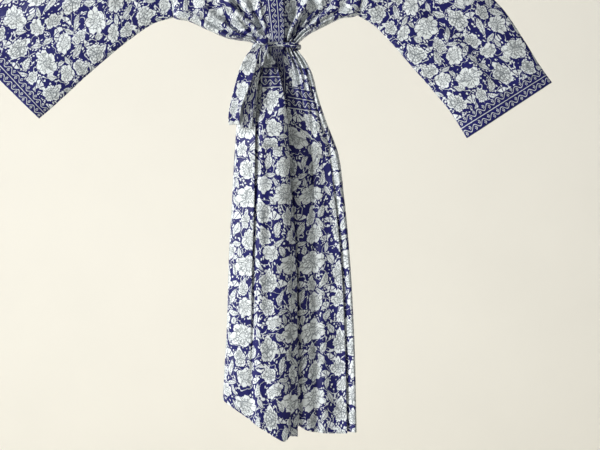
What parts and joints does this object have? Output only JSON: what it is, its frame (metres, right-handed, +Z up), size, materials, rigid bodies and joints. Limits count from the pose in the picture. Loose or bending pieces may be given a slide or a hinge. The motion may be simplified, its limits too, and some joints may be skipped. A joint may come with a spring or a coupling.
{
  "type": "block-printed cotton kimono robe on a hanger",
  "caption": "Long block-printed cotton kimono robe, tied at the waist with its own belt and hanging on a plain wooden hanger.",
  "frame": {"origin": "where the hanger's hook rests on its peg, inside the top of the hook", "axes": "+Z up, +X to the viewer's right as the front is seen, the viewer at -Y and the back of the robe at +Y"},
  "size_m": [1.3509, 0.096, 1.3724],
  "materials": {
    "printed_cotton": "plain-weave cotton, pale flowers block-printed on an indigo ground",
    "border_cotton": "plain-weave cotton, pale scrolling waves block-printed on a deep indigo ground",
    "birch": "clear satin varnish on pale birch",
    "hook_steel": "nickel-plated wire"
  },
  "bodies": {
    "root": {"front_left": "printed_cotton", "front_right": "printed_cotton", "back": "printed_cotton", "sleeve_left": "printed_cotton", "sleeve_right": "printed_cotton", "neck_band": "border_cotton", "pocket_left": "printed_cotton", "pocket_right": "printed_cotton", "belt": "printed_cotton", "belt_knot": "printed_cotton", "belt_loop": "printed_cotton", "belt_end_long": "printed_cotton", "belt_end_short": "printed_cotton", "hanger_bar": "birch", "hanger_hook": "hook_steel"}
  },
  "joints": []
}
